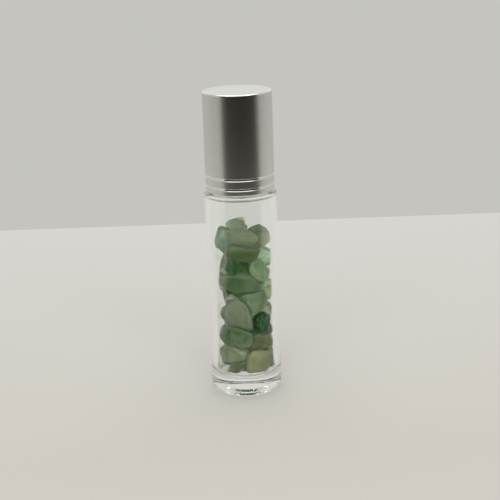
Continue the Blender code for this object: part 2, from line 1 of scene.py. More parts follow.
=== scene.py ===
"""Looks of a glass rollerball bottle filled with tumbled green stone chips.

The sections follow the bottle as it is put together: glass, chips, ball housing,
ball, cap liner and cap shell, then the table, the dark flags, the light and the
camera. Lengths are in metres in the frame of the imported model, with +Z up along the
bottle's axis.
"""

import math
import random

import bmesh
import bpy
import numpy as np
from mathutils import Matrix
from mathutils import Vector
from mathutils import noise
from mathutils.bvhtree import BVHTree


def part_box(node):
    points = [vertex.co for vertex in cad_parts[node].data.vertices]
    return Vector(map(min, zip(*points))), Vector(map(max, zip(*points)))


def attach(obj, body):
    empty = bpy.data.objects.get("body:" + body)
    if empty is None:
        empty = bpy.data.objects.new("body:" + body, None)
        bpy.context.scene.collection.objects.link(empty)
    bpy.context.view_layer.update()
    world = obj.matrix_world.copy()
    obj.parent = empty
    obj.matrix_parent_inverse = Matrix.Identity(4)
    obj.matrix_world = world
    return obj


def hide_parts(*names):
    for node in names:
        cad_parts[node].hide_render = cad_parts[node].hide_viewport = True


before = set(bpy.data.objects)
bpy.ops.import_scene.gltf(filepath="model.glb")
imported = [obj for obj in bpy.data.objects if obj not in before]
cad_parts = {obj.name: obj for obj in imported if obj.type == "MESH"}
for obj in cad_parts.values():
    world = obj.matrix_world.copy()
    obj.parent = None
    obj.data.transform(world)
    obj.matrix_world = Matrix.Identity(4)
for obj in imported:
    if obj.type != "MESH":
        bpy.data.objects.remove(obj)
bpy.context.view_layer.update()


# Glass bottle
# One piece of clear flint glass with a heavy base, pressed and then blown. The neck
# ring of the mould leaves the thread and the bead, and a flame polishes the rest.
body_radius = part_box("glass_bottle")[1].x
neck_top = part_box("glass_bottle")[1].z
neck_height = 0.0115
shoulder_height = neck_top - neck_height
shoulder_round = 0.0009
heel_round = 0.0022
standing_width = 0.0011
punt_depth = 0.0012
# The punt rises in low steps, given as shares of its radius and of its depth.
punt_steps = [
    (1.0, 0.0), (0.98, 0.05), (0.89, 0.52), (0.86, 0.56), (0.66, 0.56), (0.63, 0.60),
    (0.56, 0.93), (0.53, 0.98), (0.3, 1.0), (0.0, 1.0),
]
bore_radius = 0.0081
base_thickness = 0.0044
floor_round = 0.0014
floor_bowl = 0.018
shoulder_glass = 0.0010
ceiling_round = 0.0008
neck_radius = 0.0071
neck_bore_radius = 0.0056
neck_root_round = 0.0003
lip_round = 0.0005
bead_rise = 0.0018
bead_height = shoulder_height + bead_rise
bead_half = 0.0007
bead_proud = 0.0005
thread_start = 0.0629
thread_pitch = 0.0026
thread_turns = 1.75
thread_half = 0.00062
thread_proud = 0.0006
thread_row = 0.00012
thread_flank = 2.2
thread_run_out = 1 / 8
glass_segments = 192
on_axis = 1e-9


def arc(centre_r, centre_z, radius, start, end, steps):
    """Points of an arc in the profile plane, with angles in degrees from +X."""
    points = []
    for step in range(steps + 1):
        angle = math.radians(start + (end - start) * step / steps)
        across, up = math.cos(angle), math.sin(angle)
        points.append((centre_r + radius * across, centre_z + radius * up))
    return points


def rows(radius, top, bottom, spacing):
    """Points down a straight wall, close enough together to carry a thread."""
    count = math.ceil((top - bottom) / spacing)
    return [(radius, top + (bottom - top) * step / count) for step in range(count + 1)]


def turned(name, profile, segments, closed=False):
    """A mesh turned about Z from (radius, height) points that run down the outer side."""
    corners = []
    rings = []
    for radius, height in profile:
        count = 1 if radius < on_axis else segments
        rings.append([len(corners) + step for step in range(count)])
        for step in range(count):
            angle = math.tau * step / segments
            corners.append((radius * math.cos(angle), radius * math.sin(angle), height))
    faces = []
    pairs = list(zip(rings, rings[1:]))
    if closed:
        pairs.append((rings[-1], rings[0]))
    for upper, lower in pairs:
        for step in range(segments):
            after = (step + 1) % segments
            face = [upper[step % len(upper)], lower[step % len(lower)]]
            face += [lower[after % len(lower)], upper[after % len(upper)]]
            faces.append(list(dict.fromkeys(face)))
    mesh = bpy.data.meshes.new(name)
    mesh.from_pydata(corners, [], faces)
    return mesh


def thread_share(angle, height, start):
    """How fully a point of a threaded wall is raised, from 0 beside the thread to 1 on it."""
    best = 0.0
    for lap in range(math.ceil(thread_turns)):
        turn = lap + angle / math.tau
        if turn > thread_turns:
            continue
        beside = abs(height - start - thread_pitch * turn) / thread_half
        run = min(1.0, turn / thread_run_out, (thread_turns - turn) / thread_run_out)
        best = max(best, run * min(1.0, max(0.0, 1.0 - beside) * thread_flank))
    return best * best * (3 - 2 * best)


def raise_thread(mesh, radius, proud, start):
    """Push the points of a wall at one radius out, or in, along a right-hand thread."""
    for corner in mesh.vertices:
        reach = math.hypot(corner.co.x, corner.co.y)
        if abs(reach - radius) < thread_row / 2:
            angle = math.atan2(corner.co.y, corner.co.x) % math.tau
            scale = 1 + proud * thread_share(angle, corner.co.z, start) / reach
            corner.co.x *= scale
            corner.co.y *= scale


def add_piece(name, mesh, materials, body, nodes, sharp=math.radians(35)):
    """Show a mesh as a piece that stands for CAD nodes and rides on their body."""
    mesh.shade_smooth()
    mesh.set_sharp_from_angle(angle=sharp)
    for material in materials:
        mesh.materials.append(material)
    piece = bpy.data.objects.new(name, mesh)
    bpy.context.scene.collection.objects.link(piece)
    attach(piece, body)
    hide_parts(*nodes)
    return piece


def linear(colour, alpha=1.0):
    """An sRGB hex colour as linear light."""
    shares = [int(colour[place:place + 2], 16) / 255 for place in (1, 3, 5)]
    light = [
        share / 12.92 if share <= 0.04045 else ((share + 0.055) / 1.055) ** 2.4
        for share in shares
    ]
    return (*light, alpha)


def new_material(name):
    """An empty node material and its tree."""
    material = bpy.data.materials.new(name)
    material.use_nodes = True
    material.node_tree.nodes.clear()
    return material, material.node_tree


def add_node(tree, kind, inputs=None, **settings):
    """Add a node with its settings, and set or link its inputs by name or number."""
    made = tree.nodes.new(kind)
    for name, value in settings.items():
        setattr(made, name, value)
    for name, value in (inputs or {}).items():
        if isinstance(value, bpy.types.NodeSocket):
            tree.links.new(value, made.inputs[name])
        else:
            made.inputs[name].default_value = value
    return made


def bottle_profile():
    """Outline of the glass, from the floor's centre up the bore, over the lip and down."""
    bowl_height = base_thickness + floor_bowl
    corner = bore_radius - floor_round
    drop = math.sqrt((floor_bowl - floor_round) ** 2 - corner ** 2)
    lean = math.degrees(math.atan2(corner, drop)) - 90
    inside = arc(0.0, bowl_height, floor_bowl, -90, lean, 10)
    inside += arc(corner, bowl_height - drop, floor_round, lean, 0, 14)[1:]
    ceiling = shoulder_height - shoulder_glass
    root_radius = neck_radius + neck_root_round
    root_height = shoulder_height + neck_root_round
    throat_radius = neck_bore_radius + ceiling_round
    rim = neck_top - lip_round
    inside += arc(bore_radius - ceiling_round, ceiling - ceiling_round, ceiling_round, 0, 90, 8)
    inside += arc(throat_radius, ceiling + ceiling_round, ceiling_round, 270, 180, 8)
    inside += arc(neck_bore_radius + lip_round, rim, lip_round, 180, 90, 6)
    outside = arc(neck_radius - lip_round, rim, lip_round, 90, 0, 6)
    outside += rows(neck_radius, rim, bead_height + bead_half, thread_row)[1:]
    outside.append((neck_radius + bead_proud, bead_height + bead_half / 2))
    outside.append((neck_radius + bead_proud, bead_height - bead_half / 2))
    outside.append((neck_radius, bead_height - bead_half))
    outside += arc(root_radius, root_height, neck_root_round, 180, 270, 5)
    shoulder_arc = (body_radius - shoulder_round, shoulder_height - shoulder_round)
    outside += arc(*shoulder_arc, shoulder_round, 90, 0, 18)
    outside += arc(body_radius - heel_round, heel_round, heel_round, 0, -90, 14)
    punt_radius = body_radius - heel_round - standing_width
    outside += [(punt_radius * across, punt_depth * up) for across, up in punt_steps]
    return inside + outside


# Flint glass, fire-polished: clear, with a trace of green where it is thick, and
# faint upright waves in its wall.
flint_glass, tree = new_material("flint_glass_fire_polished")
wave_width = 0.0045
wave_stretch = 0.22
place = add_node(tree, "ShaderNodeTexCoord")
along = add_node(
    tree, "ShaderNodeMapping",
    {"Vector": place.outputs["Object"], "Scale": (1.0, 1.0, wave_stretch)},
)
waves = add_node(
    tree, "ShaderNodeTexNoise",
    {
        "Vector": along.outputs["Vector"],
        "Scale": 1 / wave_width,
        "Detail": 1.0,
        "Roughness": 0.4,
    },
)
relief = add_node(
    tree, "ShaderNodeBump",
    {"Height": waves.outputs["Fac"], "Strength": 0.35, "Distance": 0.00012},
)
glass = add_node(
    tree, "ShaderNodeBsdfPrincipled",
    {
        "Base Color": linear("#FEFFFE"),
        "Roughness": 0.012,
        "IOR": 1.52,
        "Transmission Weight": 1.0,
        "Normal": relief.outputs["Normal"],
    },
)
# Lamps shine straight through, so that the chips inside are lit.
clear = add_node(tree, "ShaderNodeBsdfTransparent", {"Color": linear("#FAFCFB")})
path = add_node(tree, "ShaderNodeLightPath")
mix = add_node(
    tree, "ShaderNodeMixShader",
    {0: path.outputs["Is Shadow Ray"], 1: glass.outputs["BSDF"], 2: clear.outputs["BSDF"]},
)
add_node(tree, "ShaderNodeOutputMaterial", {"Surface": mix.outputs["Shader"]})

bottle_mesh = turned("glass_body", bottle_profile(), glass_segments)
raise_thread(bottle_mesh, neck_radius, thread_proud, thread_start)
add_piece("glass_body", bottle_mesh, [flint_glass], "bottle", ["glass_bottle"])


# Stone chips
# Small chips of green aventurine quartz, tumbled with grit until their edges are round
# and their sides shine. They lie loose in the bore, as they fell through the neck.
chip_fineness = 5
same_side = 0.995
edge_power = (16, 30)
chip_growth = 1.035
lump_size = 0.0018
lump_depth = 0.00009
nick_count = 6
nick_width = 0.0012
nick_depth = 0.00020
thin_edge = 0.0019
ray_start = 0.00002
stone_crease = math.radians(80)


def worn_sides(source, centre):
    """The flat sides of a chip's CAD solid: outward normal and distance from its centre."""
    sides = []
    for face in sorted(source.polygons, key=lambda face: -face.area):
        distance = (face.center - centre).dot(face.normal)
        if all(face.normal.dot(normal) < same_side for normal, _ in sides):
            sides.append((face.normal.copy(), distance))
    return sides


def long_axes(points, centre):
    """A matrix that turns and stretches a ball into the chip's rough ellipsoid."""
    spread = np.cov((points - centre).T)
    sizes, axes = np.linalg.eigh(spread)
    return axes @ np.diag(np.sqrt(sizes)) @ axes.T


def tumbled(name, source, seed):
    """A worn chip from its CAD solid: flat sides, rounded edges, low lumps and nicks.

    Each point carries two shares for its material: how thin the chip is there, and how
    far the edge it lies on was rubbed round. The material paints light at the rims by both.
    """
    chance = random.Random(seed)
    points = np.array([list(corner.co) for corner in source.vertices])
    middle = (points.min(axis=0) + points.max(axis=0)) / 2
    centre = Vector(middle)
    sides = worn_sides(source, centre)
    normals = np.array([list(normal) for normal, _ in sides])
    distances = np.array([distance for _, distance in sides])
    power = chance.uniform(*edge_power)
    shape = bmesh.new()
    bmesh.ops.create_icosphere(shape, subdivisions=chip_fineness, radius=1.0)
    stretch = long_axes(points, middle)
    ways = np.array([list(corner.co) for corner in shape.verts]) @ stretch.T
    ways /= np.linalg.norm(ways, axis=1)[:, None]
    facing = np.maximum(ways @ normals.T, 0.0) / distances
    sharp = 1 / facing.max(axis=1)
    worn = np.sum(facing ** power, axis=1) ** (-1 / power)
    # Where two sides meet, wear takes away the share log(2) / power, which counts as 1.
    rubbed = np.clip((1 - worn / sharp) * power / math.log(2), 0.0, 1.0)
    worn *= chip_growth * np.mean(sharp / worn)
    for corner, way, reach in zip(shape.verts, ways, worn):
        corner.co = centre + Vector(way) * reach
    shape.normal_update()
    corners = list(shape.verts)
    nicks = [chance.choice(corners).co.copy() for nick in range(nick_count)]
    moves = []
    for corner in corners:
        rise = lump_depth * noise.noise(corner.co / lump_size + Vector((seed, 0, 0)))
        for nick in nicks:
            near = max(0.0, 1 - (corner.co - nick).length / nick_width)
            rise -= nick_depth * near * near * (3 - 2 * near)
        moves.append(corner.normal * rise)
    for corner, move in zip(corners, moves):
        corner.co += move
    shape.normal_update()
    walls = BVHTree.FromBMesh(shape)
    thin = []
    for corner in corners:
        hit = walls.ray_cast(corner.co - corner.normal * ray_start, -corner.normal)
        depth = hit[3] if hit[3] is not None else thin_edge
        thin.append(max(0.0, 1 - depth / thin_edge))
    mesh = bpy.data.meshes.new(name)
    shape.to_mesh(mesh)
    shape.free()
    for layer_name, shares in (("thin", thin), ("rubbed", rubbed)):
        layer = mesh.attributes.new(layer_name, "FLOAT", "POINT")
        layer.data.foreach_set("value", shares)
    return mesh


def tumbled_stone(name, body, cloud, edge, depth):
    """Aventurine quartz, tumbled and polished: cloudy and flecked. Its thin parts and round
    edges are painted pale, as painted light that shines through and bends at the rims.

    The colours are those of the body, of the clouds in it, of its veins and painted rim
    light, and of light that has passed through it. The flecks and pits are finer in truth
    than drawn.
    """
    material, tree = new_material(name)
    cloud_size = 0.0034
    vein_size = 0.0021
    fleck_size = 0.00040
    fleck_shade = 0.35
    pit_size = 0.00030
    place = add_node(tree, "ShaderNodeTexCoord")
    clouds = add_node(
        tree, "ShaderNodeTexNoise",
        {
            "Vector": place.outputs["Object"],
            "Scale": 1 / cloud_size,
            "Detail": 3.0,
            "Distortion": 0.8,
        },
    )
    cloud_share = add_node(
        tree, "ShaderNodeMapRange",
        {"Value": clouds.outputs["Fac"], "From Min": 0.38, "From Max": 0.70},
    )
    clouded = add_node(
        tree, "ShaderNodeMix",
        {0: cloud_share.outputs["Result"], 6: linear(body), 7: linear(cloud)},
        data_type="RGBA",
    )
    veins = add_node(
        tree, "ShaderNodeTexNoise",
        {
            "Vector": place.outputs["Object"],
            "Scale": 1 / vein_size,
            "Detail": 4.0,
            "Distortion": 1.6,
        },
        noise_type="RIDGED_MULTIFRACTAL",
    )
    vein_share = add_node(
        tree, "ShaderNodeMapRange",
        {"Value": veins.outputs["Fac"], "From Min": 0.9, "From Max": 1.5, "To Max": 0.7},
    )
    veined = add_node(
        tree, "ShaderNodeMix",
        {0: vein_share.outputs["Result"], 6: clouded.outputs[2], 7: linear(edge)},
        data_type="RGBA",
    )
    flecks = add_node(
        tree, "ShaderNodeTexNoise",
        {"Vector": place.outputs["Object"], "Scale": 1 / fleck_size, "Detail": 2.0},
    )
    fleck_share = add_node(
        tree, "ShaderNodeMapRange",
        {"Value": flecks.outputs["Fac"], "From Min": 0.55, "From Max": 0.72, "To Max": 0.6},
    )
    dark = [share * fleck_shade for share in linear(body)[:3]]
    flecked = add_node(
        tree, "ShaderNodeMix",
        {0: fleck_share.outputs["Result"], 6: veined.outputs[2], 7: (*dark, 1.0)},
        data_type="RGBA",
    )
    # Painted light: where the chip is thin, and on its round edges, the colour turns to the
    # pale edge colour, for light that shines through and bends at the rims.
    thin = add_node(tree, "ShaderNodeAttribute", attribute_name="thin")
    rubbed = add_node(tree, "ShaderNodeAttribute", attribute_name="rubbed")
    round_edge_light = add_node(
        tree, "ShaderNodeMapRange",
        {"Value": rubbed.outputs["Fac"], "From Min": 0.60, "To Max": clouds.outputs["Fac"]},
    )
    painted_rim_light = add_node(
        tree, "ShaderNodeMath",
        {0: thin.outputs["Fac"], 1: round_edge_light.outputs["Result"]},
        operation="MAXIMUM",
    )
    edged = add_node(
        tree, "ShaderNodeMix",
        {0: painted_rim_light.outputs["Value"], 6: flecked.outputs[2], 7: linear(edge)},
        data_type="RGBA",
    )
    pits = add_node(
        tree, "ShaderNodeTexNoise",
        {"Vector": place.outputs["Object"], "Scale": 1 / pit_size, "Detail": 3.0},
    )
    relief = add_node(
        tree, "ShaderNodeBump",
        {"Height": pits.outputs["Fac"], "Strength": 0.3, "Distance": 0.00005},
    )
    shine = add_node(
        tree, "ShaderNodeMapRange",
        {"Value": clouds.outputs["Fac"], "To Min": 0.05, "To Max": 0.20},
    )
    stone = add_node(
        tree, "ShaderNodeBsdfPrincipled",
        {
            "Base Color": edged.outputs[2],
            "Roughness": shine.outputs["Result"],
            "IOR": 1.45,
            "Transmission Weight": 0.78,
            "Subsurface Weight": 1.0,
            "Subsurface Radius": (0.7, 1.0, 0.6),
            "Subsurface Scale": 0.0030,
            "Normal": relief.outputs["Normal"],
        },
    )
    passed = add_node(
        tree, "ShaderNodeVolumeAbsorption", {"Color": linear(depth), "Density": 60.0}
    )
    add_node(
        tree, "ShaderNodeOutputMaterial",
        {"Surface": stone.outputs["BSDF"], "Volume": passed.outputs["Volume"]},
    )
    return material


# Each kind of stone, with its body, cloud, edge and depth colours. The edge colour is
# that of the veins and of the painted light at the rims.
stone_kinds = {
    "teal": ("#80B191", "#8DB99B", "#BAD2BE", "#6AB48C"),
    "bottle": ("#447C4B", "#55885A", "#86AC88", "#2A7E3C"),
    "forest": ("#6A9F6E", "#7BAB7B", "#ABC8A8", "#4C9C58"),
    "moss": ("#7DA26B", "#8DAD7C", "#B8CAA9", "#78A850"),
    "leaf": ("#87AC79", "#97B886", "#C3D1B1", "#68A85C"),
    "olive": ("#7F904E", "#8E9B5E", "#B5BC8B", "#788C44"),
    "fern": ("#809A5C", "#8EA66A", "#A0B380", "#688440"),
    "khaki": ("#C7CB8C", "#CED39D", "#DFDFC9", "#C0C088"),
    "drab": ("#9CB080", "#A8B88D", "#C3CDAE", "#90A26C"),
    "sage": ("#B1C3A0", "#BECAAD", "#D5DCC9", "#98B888"),
    "grey": ("#B7C5A3", "#C2CCB1", "#DDE3D2", "#A8BC94"),
    "jade": ("#ACCC99", "#BDD4AA", "#D7E3CB", "#8CBC80"),
    "mint": ("#B4E5B3", "#C2E5C0", "#DEECD7", "#9CDCA8"),
    "pale": ("#E3F7C3", "#E8F7D0", "#F2F7E9", "#B8DCA0"),
}
stones = {
    kind: tumbled_stone("tumbled_aventurine_" + kind, *colours)
    for kind, colours in stone_kinds.items()
}

# The kinds of the chips, from the bottom of the heap to its top.
chip_kinds = """
    leaf forest khaki olive moss forest drab olive jade grey
    moss drab forest bottle bottle olive grey jade sage leaf
    moss jade leaf forest sage jade jade leaf moss forest
    sage mint bottle moss leaf fern drab leaf teal pale sage
""".split()
for number, kind in enumerate(chip_kinds, start=1):
    node = "chip_{:02d}".format(number)
    mesh = tumbled("stone_" + node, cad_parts[node].data, number)
    add_piece(
        "stone_" + node, mesh, [stones[kind]], "stones", [node], stone_crease
    )


# Ball housing
# A fitment moulded in natural polypropylene. Its ribbed plug is pressed into the neck,
# its flange sits on the rim, and its lip snaps over the ball.
flange_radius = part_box("roller_housing")[1].x
plug_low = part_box("roller_housing")[0].z
lip_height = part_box("roller_housing")[1].z
ball_low, ball_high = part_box("roller_ball")
ball_radius = (ball_high.z - ball_low.z) / 2
ball_height = (ball_high.z + ball_low.z) / 2
ball_gap = 0.00025
fit_gap = 0.0003
socket_radius = ball_radius + ball_gap
cup_wall = 0.0009
flange_thickness = 0.0010
flange_low = neck_top + fit_gap
flange_top = flange_low + flange_thickness
rib_radius = neck_bore_radius - fit_gap
rib_proud = 0.00025
rib_half = 0.00035
rib_pitch = 0.0017
rib_count = 3
plug_wall = 0.0009
plug_lead = 0.0008
feed_radius = 0.0021
seat_thickness = 0.0009
seat_low = ball_height - math.sqrt(socket_radius ** 2 - feed_radius ** 2) - seat_thickness
groove_width = 0.0007
groove_reach = 0.0035
groove_overrun = 0.0005
groove_low = seat_low - groove_overrun
housing_segments = 128


def housing_outline():
    """Outline from the snap lip down the outside, and back up through the feed hole."""
    lip_rise = lip_height - ball_height
    lip_radius = math.sqrt(socket_radius ** 2 - lip_rise ** 2)
    cup_radius = socket_radius + cup_wall
    plug_radius = rib_radius - rib_proud
    skirt_radius = plug_radius - plug_wall
    edge = flange_thickness / 3
    round_lip = cup_wall / 2
    points = [(lip_radius, lip_height)]
    points += arc(cup_radius - round_lip, lip_height - round_lip, round_lip, 90, 0, 6)
    points += [(cup_radius, flange_top + edge)]
    points += arc(cup_radius + edge, flange_top + edge, edge, 180, 270, 4)[1:]
    points += arc(flange_radius - edge, flange_top - edge, edge, 90, 0, 5)
    points += [(flange_radius, flange_low), (plug_radius, flange_low)]
    for rib in range(1, rib_count + 1):
        middle = neck_top - rib * rib_pitch
        points.append((plug_radius, middle + rib_half))
        points.append((rib_radius - rib_proud / 3, middle + rib_half / 2))
        points += [(rib_radius, middle), (plug_radius, middle - rib_half)]
    points += [(plug_radius, plug_low + plug_lead), (plug_radius - plug_lead / 2, plug_low)]
    points += [(skirt_radius, plug_low), (skirt_radius, seat_low), (feed_radius, seat_low)]
    start = -math.degrees(math.acos(feed_radius / socket_radius))
    end = math.degrees(math.asin(lip_rise / socket_radius))
    return points + arc(0.0, ball_height, socket_radius, start, end, 24)[:-1]


def crossed_bars(mesh, operation, length, width, low, high):
    """Cut two crossed bars from a turned mesh, or join them to it."""
    target = bpy.data.objects.new("target", mesh)
    bpy.context.scene.collection.objects.link(target)
    bars = []
    for turn in (0.0, math.pi / 2):
        shape = bmesh.new()
        bmesh.ops.create_cube(shape, size=1.0)
        place = Matrix.Rotation(turn, 4, "Z") @ Matrix.Translation((0.0, 0.0, (low + high) / 2))
        shape.transform(place @ Matrix.Diagonal((length, width, high - low, 1.0)))
        bar_mesh = bpy.data.meshes.new("bar")
        shape.to_mesh(bar_mesh)
        shape.free()
        bar = bpy.data.objects.new("bar", bar_mesh)
        bpy.context.scene.collection.objects.link(bar)
        boolean = target.modifiers.new("bar", "BOOLEAN")
        boolean.operation = operation
        boolean.object = bar
        bars.append(bar)
    graph = bpy.context.evaluated_depsgraph_get()
    made = bpy.data.meshes.new_from_object(target.evaluated_get(graph))
    made.name = mesh.name
    for thing in [target, *bars]:
        spare = thing.data
        bpy.data.objects.remove(thing)
        bpy.data.meshes.remove(spare)
    return made


# Natural polypropylene, moulded: milky, waxy and slightly see-through. The grain that
# the mould leaves is finer in truth than drawn.
natural_polypropylene, tree = new_material("natural_polypropylene_moulded")
mould_grain = 0.0009
place = add_node(tree, "ShaderNodeTexCoord")
grain = add_node(
    tree, "ShaderNodeTexNoise",
    {"Vector": place.outputs["Object"], "Scale": 1 / mould_grain, "Detail": 3.0},
)
milk = add_node(
    tree, "ShaderNodeMix",
    {0: grain.outputs["Fac"], 6: linear("#DEDFDA"), 7: linear("#EDEDE9")},
    data_type="RGBA",
)
relief = add_node(
    tree, "ShaderNodeBump",
    {"Height": grain.outputs["Fac"], "Strength": 0.2, "Distance": 0.00003},
)
plastic = add_node(
    tree, "ShaderNodeBsdfPrincipled",
    {
        "Base Color": milk.outputs[2],
        "Roughness": 0.36,
        "IOR": 1.49,
        "Subsurface Weight": 0.4,
        "Subsurface Radius": (1.0, 1.0, 0.9),
        "Subsurface Scale": 0.0010,
        "Normal": relief.outputs["Normal"],
    },
)
add_node(tree, "ShaderNodeOutputMaterial", {"Surface": plastic.outputs["BSDF"]})

housing_mesh = turned("ball_housing", housing_outline(), housing_segments, closed=True)
housing_mesh = crossed_bars(
    housing_mesh, "DIFFERENCE", groove_reach * 2, groove_width, groove_low,
    groove_low + seat_thickness + groove_reach,
)
add_piece(
    "ball_housing", housing_mesh, [natural_polypropylene], "bottle",
    ["roller_housing"],
)


# Ball
# A stainless steel ball, ground round and polished, which picks up the liquid as it
# rolls. It is pushed past the lip of its housing.
ball_segments = 96
ball_steps = 48

# Stainless steel, ground and polished: a mirror with hair-fine marks, drawn coarser
# than they are.
polished_steel, tree = new_material("stainless_steel_polished")
mark_size = 0.0004
place = add_node(tree, "ShaderNodeTexCoord")
marks = add_node(
    tree, "ShaderNodeTexNoise",
    {"Vector": place.outputs["Object"], "Scale": 1 / mark_size, "Detail": 4.0},
)
haze = add_node(
    tree, "ShaderNodeMapRange",
    {"Value": marks.outputs["Fac"], "To Min": 0.04, "To Max": 0.12},
)
tone = add_node(
    tree, "ShaderNodeMix",
    {0: marks.outputs["Fac"], 6: linear("#C4C3BF"), 7: linear("#D6D5D2")},
    data_type="RGBA",
)
steel = add_node(
    tree, "ShaderNodeBsdfPrincipled",
    {"Base Color": tone.outputs[2], "Metallic": 1.0, "Roughness": haze.outputs["Result"]},
)
add_node(tree, "ShaderNodeOutputMaterial", {"Surface": steel.outputs["BSDF"]})

ball_outline = [(0.0, ball_height + ball_radius)]
ball_outline += arc(0.0, ball_height, ball_radius, 90, -90, ball_steps)[1:-1]
ball_outline.append((0.0, ball_height - ball_radius))
ball_mesh = turned("steel_ball", ball_outline, ball_segments)
add_piece("steel_ball", ball_mesh, [polished_steel], "ball", ["roller_ball"])


# Cap liner
# The inside of the cap, moulded in white polypropylene with the thread, a ceiling with
# its seal ring, and a ribbed head. The aluminium shell is pressed over it.
liner_low, liner_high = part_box("cap_liner")
liner_radius = liner_high.x
thread_gap = 0.00025
liner_bore = neck_radius + thread_proud + thread_gap
ceiling_gap = 0.0008
ceiling_thickness = 0.0011
ceiling_low = ball_height + ball_radius + ceiling_gap
ceiling_high = ceiling_low + ceiling_thickness
head_wall = 0.0008
rib_width = 0.0008
rib_drop = 0.0003
liner_edge = 0.00045
seal_thickness = 0.0006
seal_gap = 0.0003
seal_radius = flange_radius - flange_thickness / 3
seal_low = flange_top + seal_gap
liner_thread_top = 0.0680
liner_thread_low = 0.0608
liner_segments = 160


def liner_outline():
    """Outline from the head's floor up and down the outside, then up the threaded bore."""
    head_bore = liner_radius - head_wall
    tip = seal_thickness / 2
    points = [(0.0, ceiling_high), (head_bore, ceiling_high), (head_bore, liner_high.z)]
    points += arc(liner_radius - liner_edge, liner_high.z - liner_edge, liner_edge, 90, 0, 5)
    points += [(liner_radius, liner_low.z), (liner_bore, liner_low.z)]
    points += rows(liner_bore, liner_thread_top, liner_thread_low, thread_row)[::-1]
    points += [(liner_bore, ceiling_low), (seal_radius, ceiling_low)]
    points += arc(seal_radius - tip, seal_low + tip, tip, 0, -180, 10)
    return points + [(seal_radius - seal_thickness, ceiling_low), (0.0, ceiling_low)]


# White polypropylene, moulded: opaque, with the soft sheen of a fine mould. Its grain
# is drawn as coarse as the housing's.
white_polypropylene, tree = new_material("white_polypropylene_moulded")
place = add_node(tree, "ShaderNodeTexCoord")
grain = add_node(
    tree, "ShaderNodeTexNoise",
    {"Vector": place.outputs["Object"], "Scale": 1 / mould_grain, "Detail": 3.0},
)
chalk = add_node(
    tree, "ShaderNodeMix",
    {0: grain.outputs["Fac"], 6: linear("#E6E6E3"), 7: linear("#F2F2EF")},
    data_type="RGBA",
)
relief = add_node(
    tree, "ShaderNodeBump",
    {"Height": grain.outputs["Fac"], "Strength": 0.2, "Distance": 0.00003},
)
plastic = add_node(
    tree, "ShaderNodeBsdfPrincipled",
    {
        "Base Color": chalk.outputs[2],
        "Roughness": 0.42,
        "IOR": 1.49,
        "Normal": relief.outputs["Normal"],
    },
)
add_node(tree, "ShaderNodeOutputMaterial", {"Surface": plastic.outputs["BSDF"]})

liner_mesh = turned("liner", liner_outline(), liner_segments)
raise_thread(liner_mesh, liner_bore, -thread_proud, thread_start - thread_pitch / 2)
liner_mesh = crossed_bars(
    liner_mesh, "UNION", 2 * liner_radius - head_wall, rib_width,
    (ceiling_low + ceiling_high) / 2, liner_high.z - rib_drop,
)
add_piece("liner", liner_mesh, [white_polypropylene], "cap", ["cap_liner"])


# Cap shell
# A cup drawn from aluminium sheet, etched matt and anodised silver. A diamond tool then
# cuts the top edge and two rings bright.
shell_low, shell_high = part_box("cap_shell")
cap_radius = shell_high.x
cap_top = shell_high.z
cap_bottom = shell_low.z
shell_wall = 0.00045
edge_round = 0.00045
hem_round = 0.0002
ring_half = 0.0004
ring_depth = 0.00020
ring_rises = (0.0043, 0.0016)
# A little inside the floor of the rings.
ring_foot = cap_radius - ring_depth * 1.01
shell_segments = 192


def ring_points(height):
    """A round-bottomed groove turned into the side of the shell."""
    radius = (ring_half ** 2 + ring_depth ** 2) / (2 * ring_depth)
    half = math.degrees(math.asin(ring_half / radius))
    return arc(cap_radius - ring_depth + radius, height, radius, 180 - half, 180 + half, 12)


def shell_outline():
    """Outline from the top's centre down the outside and back up the inside."""
    inner = cap_radius - shell_wall
    points = [(0.0, cap_top), (cap_radius / 2, cap_top)]
    points += arc(cap_radius - edge_round, cap_top - edge_round, edge_round, 90, 0, 10)
    for rise in ring_rises:
        points += ring_points(cap_bottom + rise)
    points += arc(cap_radius - hem_round, cap_bottom + hem_round, hem_round, 0, -90, 5)
    points += [(inner, cap_bottom), (inner, cap_top - shell_wall - edge_round)]
    return points + [(inner - edge_round, cap_top - shell_wall), (0.0, cap_top - shell_wall)]


# Aluminium, etched and anodised silver: a satin grey with faint marks of the drawing,
# finer in truth than the width drawn here.
satin_aluminium, tree = new_material("aluminium_satin_anodised")
draw_mark = 0.00035
draw_stretch = 0.03
place = add_node(tree, "ShaderNodeTexCoord")
along = add_node(
    tree, "ShaderNodeMapping",
    {"Vector": place.outputs["Object"], "Scale": (1.0, 1.0, draw_stretch)},
)
marks = add_node(
    tree, "ShaderNodeTexNoise",
    {
        "Vector": along.outputs["Vector"],
        "Scale": 1 / draw_mark,
        "Detail": 3.0,
        "Roughness": 0.6,
    },
)
etch = add_node(
    tree, "ShaderNodeMapRange",
    {"Value": marks.outputs["Fac"], "To Min": 0.30, "To Max": 0.36},
)
tone = add_node(
    tree, "ShaderNodeMix",
    {0: marks.outputs["Fac"], 6: linear("#D7D7D5"), 7: linear("#E2E2E0")},
    data_type="RGBA",
)
relief = add_node(
    tree, "ShaderNodeBump",
    {"Height": marks.outputs["Fac"], "Strength": 0.05, "Distance": 0.00002},
)
metal = add_node(
    tree, "ShaderNodeBsdfPrincipled",
    {
        "Base Color": tone.outputs[2],
        "Metallic": 1.0,
        "Roughness": etch.outputs["Result"],
        "Normal": relief.outputs["Normal"],
    },
)
add_node(tree, "ShaderNodeOutputMaterial", {"Surface": metal.outputs["BSDF"]})

